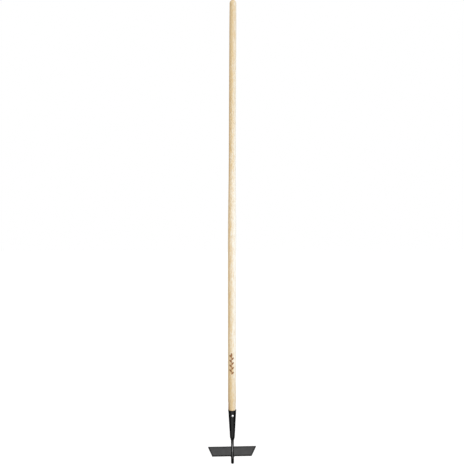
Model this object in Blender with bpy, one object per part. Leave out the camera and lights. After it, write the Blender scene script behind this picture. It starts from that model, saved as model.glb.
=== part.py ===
"""Garden hoe: an ash pole in a rolled steel socket, a swan neck of round bar and a flat draw blade.

Metres, +Z up along the handle. The blade's width runs along X, the blade reaches out to +Y and the
neck bows out to -Y. Heights are counted from the lowest point of the neck, and the whole hoe hangs
from an empty that lowers it, so that the origin lies on the handle's axis where a wall clip grips.
"""
import math

import bmesh
import bpy
from mathutils import Matrix, Vector

# Handle, a turned pole
handle_length = 1.500
shaft_diameter = 0.0280
grip_diameter = 0.0242
crown_diameter = 0.0233
thick_run = 0.675  # lower end of the pole to the start of its long taper
taper_run = 0.310
crown_run = 0.090
waist_diameter = 0.0260  # just above the socket
waist_run = 0.020
shoulder_run = 0.014  # from the waist out to the full shaft
burr_diameter = 0.0268  # fibres that the rim pushed up when the pole was driven in
burr_run = 0.0030
tenon_length = 0.086  # what is inside the socket
tip_chamfer = 0.0012

# Socket, rolled from sheet
socket_wall = 0.0015
rim_diameter = 0.0277
cone_top_diameter = 0.0270
cone_foot_diameter = 0.0170
flare_run = 0.004
cone_run = 0.087
nose_run = 0.0125  # the length over which the cone closes on the neck
tongue_run = 0.0017  # what is left of the nose, lying along the neck
notch_depth = 0.0040  # how far the nose is cut back at the left and right
lip_wall = 0.0006  # the sheet where it is hammered thin on the neck
seam_gap = 0.0016
head_lean = math.radians(0.45)  # the head sits this much askew on the pole, its foot to the right
head_aside = 0.0006  # and its rim is this far to the right of the pole's middle

# Screw through the front of the socket
screw_drop = 0.0173  # below the rim
screw_turn = math.radians(6.5)  # round the socket, to the right of its front
screw_shank_diameter = 0.0040
screw_shank_length = 0.0190
screw_point_length = 0.0050
screw_head_diameter = 0.0078
screw_head_height = 0.0026
screw_brim = 0.0005  # the straight rim below the dome
recess_span = 0.0042
recess_slot = 0.0009
recess_depth = 0.0012
bore_play = 0.0003  # all round the shank

# Neck, a bent round bar with a flattened palm
neck_diameter = 0.010
neck_lead = 0.0017  # straight bar below the socket's tongues
bow_out = 0.026  # how far the bar's middle goes forward of the handle's axis
bow_angle = math.radians(40.0)
upper_bend_radius = 0.022
lower_bend_radius = 0.024
neck_reach = 0.0343  # from the lower bend to the blade's near edge
palm_width = 0.0220
palm_thickness = 0.0046
palm_length = 0.0380  # under the blade
palm_flare = 0.0180  # the run over which the bar spreads to the palm, from the near edge
palm_squareness = 6.0  # 2 is a round section, more is a square one
palm_tip_share = 0.18  # the width left at the very tip, of the palm's width
stub_clearance = 0.0020  # from the top of the bar to the handle's end

# Blade, a trapezoid plate
blade_depth = 0.0734
blade_cutting_width = 0.1735
blade_neck_width = 0.1375
blade_thickness = 0.0030
blade_tilt = math.radians(7.8)
blade_roll = math.radians(0.85)  # the right wing stands higher than the neck's own lean makes it
blade_aside = -0.0017  # the blade is welded on this far to the left of the neck's middle
grind_run = 0.012
edge_thickness = 0.0008
edge_softening = 0.00025

# Weld beads
ring_bead_height = 0.0011  # off the neck
ring_bead_run = 0.0018  # along the neck
bead_leg = 0.0026
bead_end_share = 0.4  # the leg at a bead's ends, of its leg in the middle
bead_throat_share = 0.78  # a bead with a flat face has 0.71
front_bead_length = 0.0108
side_bead_length = 0.0170

fit_gap = 0.0003  # between pieces that touch
clip_height = 1.250  # the wall clip above the neck's lowest point

# Levels above the neck's lowest point
neck_radius = neck_diameter / 2
bends = upper_bend_radius + lower_bend_radius
bow_slant = (bow_out - bends * (1 - math.cos(bow_angle))) / math.sin(bow_angle)
lower_turn = bow_angle + math.pi / 2 + blade_tilt
bend_start = (
    neck_radius + lower_bend_radius + bends * math.sin(bow_angle) + bow_slant * math.cos(bow_angle)
)
nose_tip = bend_start + neck_lead
cone_foot = nose_tip + tongue_run + nose_run
cone_top = cone_foot + cone_run
rim_level = cone_top + flare_run
handle_foot = rim_level - tenon_length
handle_top = handle_foot + handle_length
stub_top = handle_foot - stub_clearance
nose_radius = neck_radius + fit_gap + lip_wall
cone_slope = math.atan((cone_top_diameter - cone_foot_diameter) / 2 / cone_run)
lean = (
    Matrix.Translation((head_aside, 0.0, rim_level))
    @ Matrix.Rotation(-head_lean, 4, "Y")
    @ Matrix.Translation((0.0, 0.0, -rim_level))
)


def linear(red, green, blue):
    """A colour given as 0 to 255 on a screen, as the linear values that a material takes."""
    channels = (value / 255 for value in (red, green, blue))
    return tuple(c / 12.92 if c <= 0.04045 else ((c + 0.055) / 1.055) ** 2.4 for c in channels) + (1.0,)


def finish(name, colour, roughness, metallic):
    """A plain material of one colour."""
    material = bpy.data.materials.new(name)
    material.use_nodes = True
    shader = material.node_tree.nodes["Principled BSDF"]
    shader.inputs["Base Color"].default_value = colour
    shader.inputs["Roughness"].default_value = roughness
    shader.inputs["Metallic"].default_value = metallic
    material.diffuse_color = colour
    return material


def place(name, data, parent, material=None, matrix=None):
    """Puts a mesh, a curve or an empty under its parent, at matrix in the parent's own frame."""
    piece = bpy.data.objects.new(name, data)
    bpy.context.scene.collection.objects.link(piece)
    piece.parent = parent
    piece.matrix_local = matrix or Matrix.Identity(4)
    if material:
        data.materials.append(material)
    return piece


def mesh_from(name, bm, round_piece=True):
    """Turns a bmesh into a mesh whose faces point outwards, smooth over its round parts."""
    bmesh.ops.recalc_face_normals(bm, faces=bm.faces)
    mesh = bpy.data.meshes.new(name)
    bm.to_mesh(mesh)
    bm.free()
    if round_piece:
        mesh.shade_smooth()
        mesh.set_sharp_from_angle(angle=math.radians(35.0))
    return mesh


def turned(name, profile, sides, leaning_below=None):
    """A mesh turned about Z from (radius, height) points; what lies below a level leans with the head."""
    bm = bmesh.new()
    points = [bm.verts.new((radius, 0.0, height)) for radius, height in profile]
    line = [bm.edges.new(pair) for pair in zip(points, points[1:])]
    bmesh.ops.spin(
        bm,
        geom=points + line,
        cent=(0.0, 0.0, 0.0),
        axis=(0.0, 0.0, 1.0),
        angle=math.tau,
        steps=sides,
        use_merge=True,
    )
    bmesh.ops.remove_doubles(bm, verts=bm.verts, dist=1e-6)
    if leaning_below is not None:
        low = [vert for vert in bm.verts if vert.co.z < leaning_below]
        bmesh.ops.transform(bm, matrix=lean, verts=low)
    return mesh_from(name, bm)


def bridged(name, rings, endless=False):
    """A mesh over rings of points, each joined to the next; its ends are capped, or joined to each other."""
    bm = bmesh.new()
    loops = []
    for ring in rings:
        verts = [bm.verts.new(point) for point in ring]
        loops.append([bm.edges.new(pair) for pair in zip(verts, verts[1:] + verts[:1])])
    for loop, following in zip(loops, loops[1:]):
        bmesh.ops.bridge_loops(bm, edges=loop + following)
    if endless:
        bmesh.ops.bridge_loops(bm, edges=loops[-1] + loops[0])
    else:
        for loop in (loops[0], loops[-1]):
            bmesh.ops.contextual_create(bm, geom=loop)
    return mesh_from(name, bm)


def cut(piece, cutter):
    """Cuts one piece with a hidden solid."""
    cutter.hide_render = True
    cutter.display_type = "WIRE"
    boolean = piece.modifiers.new("cut_" + cutter.name, "BOOLEAN")
    boolean.operation = "DIFFERENCE"
    boolean.solver = "EXACT"
    boolean.object = cutter


def eased(start, end, share):
    """From start to end along half a cosine wave, as share goes from 0 to 1."""
    share = min(max(share, 0.0), 1.0)
    return start + (end - start) * (1 - math.cos(math.pi * share)) / 2


def socket_radius(height):
    """The socket's outer radius at a height: a flared rim, a straight cone and a closing nose."""
    if height > cone_top:
        rise = min((height - cone_top) / flare_run, 1.0)
        return (cone_top_diameter + (rim_diameter - cone_top_diameter) * rise) / 2
    if height > cone_foot:
        share = (height - cone_foot) / cone_run
        return (cone_foot_diameter + (cone_top_diameter - cone_foot_diameter) * share) / 2
    return eased(cone_foot_diameter / 2, nose_radius, (cone_foot - height) / nose_run)


def nose_end(angle):
    """The level of the nose's edge at an angle from the front: tongues front and back, notches between."""
    return nose_tip + notch_depth * math.sin(angle) ** 2


def build_handle(parent, material):
    """The pole: tenon, burr, waist, shoulder, thick shaft, long taper, grip and domed crown."""
    bare = socket_wall / math.cos(cone_slope) + fit_gap
    tip_radius = socket_radius(handle_foot) - bare
    waist_top = rim_level + burr_run + waist_run
    taper_start = handle_foot + thick_run
    dome = crown_diameter / 2
    crown_start = handle_top - dome - crown_run
    profile = [
        (0.0, handle_foot),
        (tip_radius - tip_chamfer, handle_foot),
        (tip_radius, handle_foot + tip_chamfer),
        (socket_radius(cone_top) - bare, cone_top),
        (socket_radius(rim_level) - bare, rim_level),
        (socket_radius(rim_level) - bare, rim_level + fit_gap),
        (burr_diameter / 2, rim_level + 2 * fit_gap),
        (burr_diameter / 2, rim_level + burr_run / 2),
        (waist_diameter / 2, rim_level + burr_run),
    ]
    swells = (
        (waist_diameter, shaft_diameter, waist_top, shoulder_run, 5),
        (shaft_diameter, grip_diameter, taper_start, taper_run, 8),
        (grip_diameter, crown_diameter, crown_start, crown_run, 4),
    )
    for wide, narrow, start, run, steps in swells:
        for step in range(steps + 1):
            profile.append((eased(wide, narrow, step / steps) / 2, start + run * step / steps))
    steps = 8
    for step in range(1, steps):
        turn = math.pi / 2 * step / steps
        profile.append((dome * math.cos(turn), handle_top - dome + dome * math.sin(turn)))
    profile.append((0.0, handle_top))
    in_socket = rim_level + 1.5 * fit_gap
    return place("handle", turned("handle", profile, 40, leaning_below=in_socket), parent, material)


def build_socket(parent, material):
    """The rolled sheet: a grid wrapped round the cone, thickened inwards and open along the back seam."""
    around, flare_rows, cone_rows, nose_rows = 36, 2, 7, 8
    full_run = rim_level - nose_tip
    runs = [flare_run * row / flare_rows for row in range(flare_rows)]
    runs += [flare_run + cone_run * row / cone_rows for row in range(cone_rows)]
    runs += [eased(flare_run + cone_run, full_run, row / nose_rows) for row in range(nose_rows + 1)]
    along = len(runs) - 1
    seam_share = seam_gap / 2 / math.pi
    bm = bmesh.new()
    bmesh.ops.create_grid(bm, x_segments=around, y_segments=along, size=0.5)
    weights = {}
    for vert in bm.verts:
        facing = math.tau * vert.co.x
        row = round((vert.co.y + 0.5) * along)
        edge_level = nose_end(facing * (1 - seam_share / nose_radius))
        height = rim_level + (edge_level - rim_level) * runs[row] / full_run
        radius = socket_radius(height)
        angle = facing * (1 - seam_share / radius)
        vert.co = (radius * math.sin(angle), -radius * math.cos(angle), height)
        weights[vert.index] = min(max((height - nose_tip - tongue_run) / nose_run, 0.0), 1.0)
    bmesh.ops.recalc_face_normals(bm, faces=bm.faces)
    front = min(bm.faces, key=lambda face: face.calc_center_median().y)
    if front.normal.y > 0:
        bmesh.ops.reverse_faces(bm, faces=bm.faces)
    mesh = bpy.data.meshes.new("socket")
    bm.to_mesh(mesh)
    bm.free()
    mesh.shade_smooth()
    piece = place("socket", mesh, parent, material)
    group = piece.vertex_groups.new(name="full_wall")
    for index, weight in weights.items():
        group.add([index], weight, "REPLACE")
    wall = piece.modifiers.new("wall", "SOLIDIFY")
    wall.thickness = socket_wall
    wall.offset = -1.0
    wall.use_even_offset = True
    wall.vertex_group = group.name
    wall.thickness_vertex_group = lip_wall / socket_wall
    return piece


def screw_seat():
    """The screw's own frame: its origin on the socket's outside, its Z straight out of the sheet."""
    level = rim_level - screw_drop
    front = Matrix.Translation((0.0, -socket_radius(level), level))
    outwards = Matrix.Rotation(math.pi / 2 + cone_slope, 4, "X")
    return Matrix.Rotation(screw_turn, 4, "Z") @ front @ outwards


def build_screw(parent, material):
    """A round-head wood screw: a dome on a shank with a point, and a cross recess in the dome."""
    radius = screw_shank_diameter / 2
    head_radius = screw_head_diameter / 2
    head_top = fit_gap + screw_head_height
    dome = screw_head_height - screw_brim
    profile = [
        (0.0, -screw_shank_length),
        (radius, -screw_shank_length + screw_point_length),
        (radius, fit_gap),
        (head_radius, fit_gap),
    ]
    steps = 7
    for step in range(steps):
        turn = math.pi / 2 * step / steps
        profile.append((head_radius * math.cos(turn), head_top - dome + dome * math.sin(turn)))
    profile.append((0.0, head_top))
    screw = place("socket_screw", turned("socket_screw", profile, 28), parent, material, screw_seat())
    for number, turn in enumerate((0.0, math.pi / 2)):
        bm = bmesh.new()
        bmesh.ops.create_cube(bm, size=1.0)
        size = Matrix.Diagonal((recess_span, recess_slot, 2 * recess_depth, 1.0))
        bmesh.ops.transform(bm, matrix=size, verts=bm.verts)
        slot = mesh_from(f"recess_{number}", bm, round_piece=False)
        at_top = Matrix.Translation((0.0, 0.0, head_top)) @ Matrix.Rotation(turn, 4, "Z")
        cut(screw, place(f"recess_{number}", slot, screw, matrix=at_top))
    return screw


def bore_for_screw(parent, pieces):
    """Drills the socket and the handle for the screw's shank."""
    radius = screw_shank_diameter / 2 + bore_play
    outside = screw_head_diameter
    bottom = -screw_shank_length - bore_play
    profile = [(0.0, outside), (radius, outside), (radius, bottom + radius), (0.0, bottom)]
    bore = place("screw_bore", turned("screw_bore", profile, 20), parent, matrix=screw_seat())
    for piece in pieces:
        cut(piece, bore)


def neck_route():
    """The bar's middle line, as (Y, height, heading) from its end in the socket to the palm's tip.

    The heading is the angle from +Y. The route is straight down, an arc forwards, a straight slant,
    a long arc back under the hoe, and a straight tail that runs on under the blade.
    """
    runs = (
        (stub_top - bend_start, 0.0, 2),
        (upper_bend_radius * bow_angle, -bow_angle, 6),
        (bow_slant, 0.0, 2),
        (lower_bend_radius * lower_turn, lower_turn, 20),
        (neck_reach, 0.0, 10),
        (palm_length, 0.0, 16),
    )
    along, height, heading = 0.0, stub_top, -math.pi / 2
    route = [(along, height, heading)]
    for length, turn, steps in runs:
        half = turn / steps / 2
        chord = length / steps
        if turn:
            chord *= math.sin(half) / half
        for _ in range(steps):
            heading += half
            along += chord * math.cos(heading)
            height += chord * math.sin(heading)
            heading += half
            route.append((along, height, heading))
    return route


def near_edge():
    """Where the neck's middle line passes below the blade's near edge, in the head's frame."""
    along, height, heading = neck_route()[-1]
    along -= palm_length * math.cos(heading)
    height -= palm_length * math.sin(heading)
    return Vector((0.0, along, height))


def build_neck(parent, material):
    """The bar: round rings along its route, flattened step by step into the palm."""
    route = neck_route()
    reached = [0.0]
    for here, there in zip(route, route[1:]):
        reached.append(reached[-1] + math.dist(here[:2], there[:2]))
    tip_at = reached[-1]
    edge_at = tip_at - palm_length
    tail_at = edge_at - neck_reach
    round_tip = palm_width / 2
    sides = 24
    rings = []
    for (along, height, heading), reach in zip(route, reached):
        flat = eased(0.0, 1.0, (reach - tail_at) / neck_reach)
        half_width = eased(neck_radius, palm_width / 2, (reach - edge_at) / palm_flare)
        if reach > tip_at - round_tip:
            past = (reach - tip_at) / round_tip + 1
            half_width *= max(math.sqrt(max(1 - past**2, 0.0)), palm_tip_share)
        half_height = neck_radius + (palm_thickness / 2 - neck_radius) * flat
        power = 2 / (2 + (palm_squareness - 2) * flat)
        roll = blade_roll * flat
        up = Vector((0.0, -math.sin(heading), math.cos(heading)))
        right = Vector((1.0, 0.0, 0.0))
        wide_axis = right * math.cos(roll) + up * math.sin(roll)
        thick_axis = up * math.cos(roll) - right * math.sin(roll)
        middle = Vector((0.0, along, height))
        ring = []
        for step in range(sides):
            across, upward = math.cos(math.tau * step / sides), math.sin(math.tau * step / sides)
            across = math.copysign(abs(across) ** power, across) * half_width
            upward = math.copysign(abs(upward) ** power, upward) * half_height
            ring.append(middle + wide_axis * across + thick_axis * upward)
        rings.append(ring)
    return place("swan_neck", bridged("swan_neck", rings), parent, material)


def blade_frame():
    """The blade's own frame in the head's: its origin on the neck's middle line below the near edge."""
    tilt = Matrix.Rotation(blade_tilt, 4, "X")
    roll = Matrix.Rotation(-blade_roll, 4, "Y")
    return Matrix.Translation(near_edge()) @ tilt @ roll


def build_blade(parent, material):
    """The plate: its cross-section pulled across the width and spread to the trapezoid."""
    bottom = palm_thickness / 2 + fit_gap
    top = bottom + blade_thickness
    section = [
        (0.0, bottom),
        (blade_depth - grind_run, bottom),
        (blade_depth, top - edge_thickness),
        (blade_depth, top),
        (0.0, top),
    ]
    bm = bmesh.new()
    left = bm.faces.new([bm.verts.new((-1.0, depth, level)) for depth, level in section])
    pulled = bmesh.ops.extrude_face_region(bm, geom=[left])["geom"]
    right = [item for item in pulled if isinstance(item, bmesh.types.BMVert)]
    bmesh.ops.translate(bm, vec=(2.0, 0.0, 0.0), verts=right)
    for vert in bm.verts:
        share = vert.co.y / blade_depth
        vert.co.x *= (blade_neck_width + (blade_cutting_width - blade_neck_width) * share) / 2
        vert.co.x += blade_aside
    blade = place("blade", mesh_from("blade", bm, round_piece=False), parent, material)
    soft = blade.modifiers.new("soft_edges", "BEVEL")
    soft.width = edge_softening
    soft.segments = 1
    soft.limit_method = "ANGLE"
    soft.angle_limit = math.radians(30.0)
    return blade


def bead_section(height, run):
    """A fillet's cross-section from its corner: legs of height and run, joined by a slightly full face."""
    points = 5
    section = [(0.0, 0.0)]
    for point in range(points):
        turn = math.pi / 2 * point / (points - 1)
        fullness = bead_throat_share + (1 - bead_throat_share) * abs(math.cos(2 * turn))
        section.append((height * fullness * math.cos(turn), run * fullness * math.sin(turn)))
    return section


def build_bead(name, length, parent, material, matrix):
    """A fillet bead along X that fills the corner of +Y and -Z and tapers off at its ends."""
    stations = 10
    rings = []
    for station in range(stations + 1):
        share = 2 * station / stations - 1
        leg = bead_leg * (bead_end_share + (1 - bead_end_share) * math.sqrt(1 - share**2))
        rings.append([(share * length / 2, out, -down) for out, down in bead_section(leg, leg)])
    return place(name, bridged(name, rings), parent, material, matrix)


def build_blade_welds(parent, material):
    """Three beads: one in front of the near edge on the palm, one along each side of the palm."""
    palm_top = palm_thickness / 2
    front = Matrix.Translation((0.0, -fit_gap, palm_top + fit_gap)) @ Matrix.Rotation(math.pi, 4, "X")
    build_bead("blade_weld_front", front_bead_length, parent, material, front)
    middle = palm_length - palm_width / 2 - side_bead_length / 2
    for name, side in (("blade_weld_left", -1), ("blade_weld_right", 1)):
        corner = Matrix.Translation((side * (palm_width / 2 + fit_gap), middle, palm_top))
        along_palm = Matrix.Rotation(-side * math.pi / 2, 4, "Z")
        build_bead(name, side_bead_length, parent, material, corner @ along_palm)


def build_socket_weld(parent, material):
    """A fillet bead round the neck that follows the edge of the socket's nose."""
    stations = 48
    corner_radius = neck_radius + fit_gap
    rings = []
    for station in range(stations):
        angle = math.tau * station / stations
        slope = math.hypot(1.0, notch_depth * math.sin(2 * angle) / nose_radius)
        corner_level = nose_end(angle) - fit_gap * slope
        ring = []
        for out, down in bead_section(ring_bead_height, ring_bead_run):
            radius = corner_radius + out
            ring.append((radius * math.sin(angle), -radius * math.cos(angle), corner_level - down))
        rings.append(ring)
    return place("socket_weld", bridged("socket_weld", rings, endless=True), parent, material)


def build_hoe():
    """Clears the scene and builds every piece under empties for the hoe, its head and its blade."""
    for thing in list(bpy.data.objects):
        bpy.data.objects.remove(thing, do_unlink=True)
    ash = finish("ash", linear(228, 208, 172), 0.55, 0.0)
    lacquer = finish("black_lacquer", linear(52, 52, 53), 0.45, 0.0)
    zinc = finish("zinc_plate", linear(214, 216, 218), 0.3, 1.0)
    hoe = place("hoe", None, None, matrix=Matrix.Translation((0.0, 0.0, -clip_height)))
    head = place("head", None, hoe, matrix=lean)
    blade_seat = place("blade_seat", None, head, matrix=blade_frame())
    handle = build_handle(hoe, ash)
    socket = build_socket(head, lacquer)
    build_screw(head, zinc)
    bore_for_screw(head, (handle, socket))
    build_neck(head, lacquer)
    build_socket_weld(head, lacquer)
    build_blade(blade_seat, lacquer)
    build_blade_welds(blade_seat, lacquer)


build_hoe()
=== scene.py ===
import math

import bmesh
import bpy
import numpy as np
from mathutils import Matrix, Vector


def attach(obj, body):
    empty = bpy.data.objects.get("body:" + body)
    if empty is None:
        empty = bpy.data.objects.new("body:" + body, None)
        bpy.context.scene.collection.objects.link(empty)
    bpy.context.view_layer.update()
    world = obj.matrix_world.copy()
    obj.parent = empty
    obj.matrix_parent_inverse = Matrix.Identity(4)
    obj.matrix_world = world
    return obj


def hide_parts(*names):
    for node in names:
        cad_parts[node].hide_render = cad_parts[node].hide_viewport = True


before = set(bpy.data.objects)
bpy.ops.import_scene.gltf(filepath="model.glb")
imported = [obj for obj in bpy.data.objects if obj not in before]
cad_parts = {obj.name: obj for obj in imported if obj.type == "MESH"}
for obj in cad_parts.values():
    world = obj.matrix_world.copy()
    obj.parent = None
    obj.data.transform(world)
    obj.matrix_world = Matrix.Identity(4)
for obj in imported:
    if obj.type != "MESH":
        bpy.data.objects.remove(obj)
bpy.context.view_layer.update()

# Camera
# The hoe hangs upright before a nearly level camera. Its lens sees the whole hoe from 2.4 m, with the
# handle's axis a fraction of a pixel beside the middle of the square picture.
picture_px = 464
focal_px = 696.0
axis_px = 232.45
camera_distance = 2.4
eye_height = 0.7974  # above the lowest point of the neck
camera_roll = math.radians(0.13)
sensor = 36.0
ground = -1.250  # the neck's lowest point, which every height below counts from

camera_data = bpy.data.cameras.new("front_camera")
camera_data.sensor_width = sensor
camera_data.lens = focal_px * sensor / picture_px
camera_data.shift_x = (picture_px / 2 - axis_px) / picture_px
camera = bpy.data.objects.new("front_camera", camera_data)
camera.matrix_world = (
    Matrix.Translation((0.0, -camera_distance, ground + eye_height))
    @ Matrix.Rotation(math.pi / 2, 4, "X")
    @ Matrix.Rotation(camera_roll, 4, "Z")
)
bpy.context.scene.collection.objects.link(camera)
bpy.context.scene.camera = camera
bpy.context.scene.view_settings.view_transform = "Standard"

# Floor and light
# A white floor lies a hand's breadth below the hanging hoe, and three soft lamps light it from the
# front right, from the front and from above. Three black cards, two bent round the head and one on
# the floor, give the lacquer something dark to mirror.
floor_drop, floor_half = 0.12, 30.0
floor_white, floor_glow = (0.86, 0.86, 0.86, 1.0), 0.20
sky_white, sky_fill = (1.0, 1.0, 1.0, 1.0), 0.45
key_strength, key_spread, key_from = 0.56, math.radians(110.0), (0.58, -0.90, 0.30)
front_strength, front_spread, front_from = 0.70, math.radians(42.0), (0.22, -0.90, 0.33)
top_strength, top_spread, top_from = 1.5, math.radians(36.0), (0.30, -0.42, 1.0)
card_black, card_radius, card_points = (0.01, 0.01, 0.01, 1.0), 0.33, 25
card_turns = (math.radians(46.0), math.radians(179.0))
card_heights = (0.36, 0.24)  # beside the head and behind it
card_sinks = (math.radians(95.0), math.radians(135.0))  # from the one height to the other
floor_card_half, floor_card_front, floor_card_lift = 0.40, 0.28, 0.001


def wire(tree, kind, sockets=None, **settings):
    """Adds a shader node. sockets gives its inputs, by name or number, a value or the output to read."""
    node = tree.nodes.new("ShaderNode" + kind)
    for setting, value in settings.items():
        setattr(node, setting, value)
    for socket, value in (sockets or {}).items():
        if isinstance(value, bpy.types.NodeSocket):
            tree.links.new(value, node.inputs[socket])
        else:
            node.inputs[socket].default_value = value
    return node


def calculate(tree, operation, first, second=0.0, clamp=False):
    """The output of a Math node over one or two values."""
    return wire(tree, "Math", {0: first, 1: second}, operation=operation, use_clamp=clamp).outputs[0]


def product(tree, first, second):
    """One value times another."""
    return calculate(tree, "MULTIPLY", first, second)


def seen_directly(tree):
    """1 for rays from the camera, in a reflection or through glass, and 0 for rays that carry light."""
    rays = wire(tree, "LightPath").outputs
    mirrored = calculate(tree, "MAXIMUM", rays["Is Glossy Ray"], rays["Is Transmission Ray"])
    return calculate(tree, "MAXIMUM", rays["Is Camera Ray"], mirrored)


def panel_through(name, foot, top, material):
    """A stage panel between two rows of points: one quad for each pair of neighbours."""
    count = len(foot)
    mesh = bpy.data.meshes.new(name)
    quads = [(i, i + 1, count + i + 1, count + i) for i in range(count - 1)]
    mesh.from_pydata(list(foot) + list(top), [], quads)
    mesh.materials.append(material)
    panel = bpy.data.objects.new(name, mesh)
    bpy.context.scene.collection.objects.link(panel)
    return panel


def side_to_side(half, y, height):
    """The left and the right end of a level panel's edge."""
    return [(-half, y, height), (half, y, height)]


def mirrored_only(panel):
    """Hides a panel from the camera and from the light on the hoe, so that only reflections show it."""
    panel.visible_camera = False
    panel.visible_diffuse = False
    panel.visible_shadow = False


def soft_lamp(name, strength, spread, direction):
    """A far, broad lamp whose light falls evenly on the whole length of the hoe."""
    lamp_data = bpy.data.lights.new(name, "SUN")
    lamp_data.energy = strength
    lamp_data.angle = spread
    lamp = bpy.data.objects.new(name, lamp_data)
    lamp.rotation_euler = Vector(direction).to_track_quat("Z", "Y").to_euler()
    bpy.context.scene.collection.objects.link(lamp)
    return lamp


world = bpy.data.worlds.new("studio")
bpy.context.scene.world = world
world.use_nodes = True
sky = world.node_tree
sky.nodes.clear()
fill = wire(sky, "Background", {"Color": sky_white, "Strength": sky_fill})
white = wire(sky, "Background", {"Color": sky_white, "Strength": 1.0})
sky_mix = wire(sky, "MixShader", {0: seen_directly(sky), 1: fill.outputs[0], 2: white.outputs[0]})
wire(sky, "OutputWorld", {"Surface": sky_mix.outputs[0]})

floor_material = bpy.data.materials.new("white_floor")
floor_material.use_nodes = True
tree = floor_material.node_tree
tree.nodes.clear()
matt = wire(tree, "BsdfDiffuse", {"Color": floor_white})
glow = wire(tree, "Emission", {"Strength": product(tree, seen_directly(tree), floor_glow)})
both = wire(tree, "AddShader", {0: matt.outputs[0], 1: glow.outputs[0]})
wire(tree, "OutputMaterial", {"Surface": both.outputs[0]})
floor_level = ground - floor_drop
floor_front = side_to_side(floor_half, -floor_half, floor_level)
floor_back = side_to_side(floor_half, floor_half, floor_level)
panel_through("floor", floor_front, floor_back, floor_material)

card_material = bpy.data.materials.new("black_card")
card_material.use_nodes = True
shader = card_material.node_tree.nodes["Principled BSDF"]
shader.inputs["Base Color"].default_value = card_black
shader.inputs["Specular IOR Level"].default_value = 0.0
for side, name in ((-1, "card_left"), (1, "card_right")):
    turns = side * np.linspace(*card_turns, card_points)
    x, y = card_radius * np.sin(turns), -card_radius * np.cos(turns)
    card_top = np.interp(np.abs(turns), card_sinks, card_heights)
    foot, top = [np.stack([x, y, floor_level + rise], axis=-1).tolist() for rise in (0 * x, card_top)]
    mirrored_only(panel_through(name, foot, top, card_material))
low_level = floor_level + floor_card_lift
low_front = side_to_side(floor_card_half, -floor_card_front, low_level)
low_back = side_to_side(floor_card_half, floor_card_half, low_level)
mirrored_only(panel_through("card_on_floor", low_front, low_back, card_material))

key = soft_lamp("key_lamp", key_strength, key_spread, key_from)
key.visible_glossy = False
soft_lamp("front_lamp", front_strength, front_spread, front_from)
soft_lamp("top_lamp", top_strength, top_spread, top_from)

# Handle
# A turned ash pole, 1.50 m long, clear varnished and driven into the socket, where the rim pinches its
# flanks and pushes up a burr. It swells from a waist to 28 mm, thins to a grip, ends in a dome and has
# warped 1.3 mm to the left at its middle. A sprig of leaves is burnt into its front.
handle_foot, handle_top = 0.097628, 1.597628
rim_level = 0.183628
shaft_diameter, waist_diameter, burr_diameter = 0.0280, 0.0260, 0.0268
grip_diameter, crown_diameter = 0.0242, 0.0233
thick_run, taper_run, crown_run = 0.675, 0.310, 0.090
burr_run, waist_run, shoulder_run = 0.0030, 0.020, 0.014
burr_crest, burr_reach = burr_run / 3, 0.7 * burr_run
tenon_foot_radius, tenon_top_radius = 0.00708, 0.01204
ledge_start, ledge_run = 0.0002, 0.0004  # where the pole steps out over the rim
head_lean, head_aside = math.radians(0.45), 0.0006
leaning_to = 0.0003  # above the rim, up to where the pole leans with the socket
pole_bow = 0.0013
lathe_wave, lathe_chatter = 0.00005, 0.00004
crush_depth, crush_crest, crush_reach = 0.00022, 0.0009, 0.0022
pinch_depth, pinch_reach = 0.0014, 0.0026
smooth_top = 0.004
mark_low, mark_height, mark_turn = 0.3085, 0.074, math.radians(-6.5)
mark_depth = 0.00022
stem_wave, stem_half_width, stem_fade = 0.0011, 0.0012, 0.0004
leaf_pitch, leaf_half_length, leaf_half_width, leaf_slant = 0.0082, 0.0064, 0.0033, 0.80
leaf_count, leaf_start, leaf_out, leaf_fade = 8, 0.62, 0.0035, 0.3
rib_half_width, rib_start, rib_paler = 0.0004, -0.6, 0.4
pole_facets = 176


def screen_colour(code):
    """A colour written as six hexadecimal digits, as the linear values that a shader takes."""
    channels = [int(code[place : place + 2], 16) / 255 for place in (0, 2, 4)]
    return tuple(c / 12.92 if c <= 0.04045 else ((c + 0.055) / 1.055) ** 2.4 for c in channels) + (1.0,)


def ease(share):
    """From 0 to 1 along half a cosine wave, as share goes from 0 to 1."""
    return (1 - np.cos(np.pi * np.clip(share, 0.0, 1.0))) / 2


def near(distance, reach):
    """1 at no distance and 0 from reach on, with a soft start and end."""
    return 1 - ease(np.abs(distance) / reach)


def leaning(points):
    """Points of the head, whose heights count from the neck's lowest point, set askew as the head sits.

    The head is turned about the middle of the socket's rim, with its foot to the right, and set a little
    to the right of the pole.
    """
    below = points[..., 2] - rim_level
    x = head_aside + points[..., 0] * math.cos(head_lean) - below * math.sin(head_lean)
    z = points[..., 0] * math.sin(head_lean) + below * math.cos(head_lean) + rim_level
    return np.stack([x, points[..., 1], z], axis=-1)


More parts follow.
